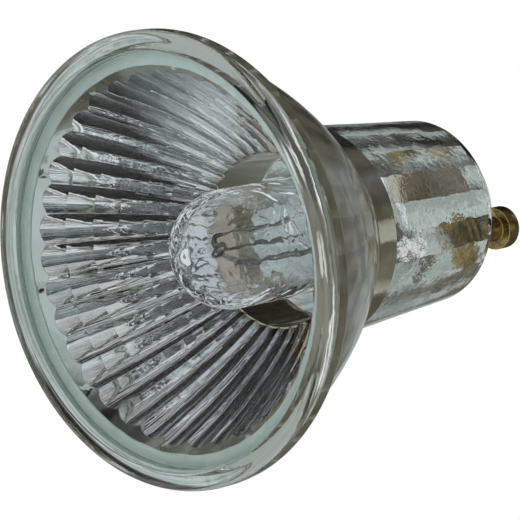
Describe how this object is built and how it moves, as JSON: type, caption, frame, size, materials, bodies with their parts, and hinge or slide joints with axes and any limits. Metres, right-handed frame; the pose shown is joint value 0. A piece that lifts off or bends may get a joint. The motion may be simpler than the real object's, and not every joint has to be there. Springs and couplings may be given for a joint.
{
  "type": "reflector lamp",
  "caption": "All-glass halogen reflector lamp with a fluted mirror bowl, a flat front glass and a clear twist-lock base with brass pins.",
  "frame": {"origin": "centre of the front rim plane, on which the lamp stands", "axes": "+Z along the lamp axis from the front rim to the contact pins; the two pins lie on the X axis"},
  "size_m": [0.05, 0.05, 0.0547],
  "materials": {
    "pressed_glass": "pressed, clear, bowl mirrored inside",
    "cover_glass": "clear, faint green edge",
    "clear_adhesive": "clear, slightly milky",
    "quartz": "fire-polished, clear",
    "tungsten": "drawn wire, grey",
    "molybdenum": "drawn wire and rolled foil",
    "nickel_plate": "nickel plated",
    "fuse_alloy": "drawn fine wire",
    "glass_fibre": "braided sleeve",
    "brass": "turned, slightly aged"
  },
  "bodies": {
    "root": {"glass_body": "pressed_glass", "cover_glass": "cover_glass", "cover_bead": "clear_adhesive", "capsule_envelope": "quartz", "filament": "tungsten", "filament_hook": "tungsten", "lead_bridge": "quartz", "inner_lead_1": "molybdenum", "inner_lead_2": "molybdenum", "seal_foil_1": "molybdenum", "seal_foil_2": "molybdenum", "outer_lead_1": "molybdenum", "outer_lead_2": "molybdenum", "lead_ferrule": "nickel_plate", "fuse_wire": "fuse_alloy", "fuse_sleeve": "glass_fibre", "contact_pin_1": "brass", "contact_pin_2": "brass", "rivet_washer_1": "brass", "rivet_washer_2": "brass"}
  },
  "joints": []
}
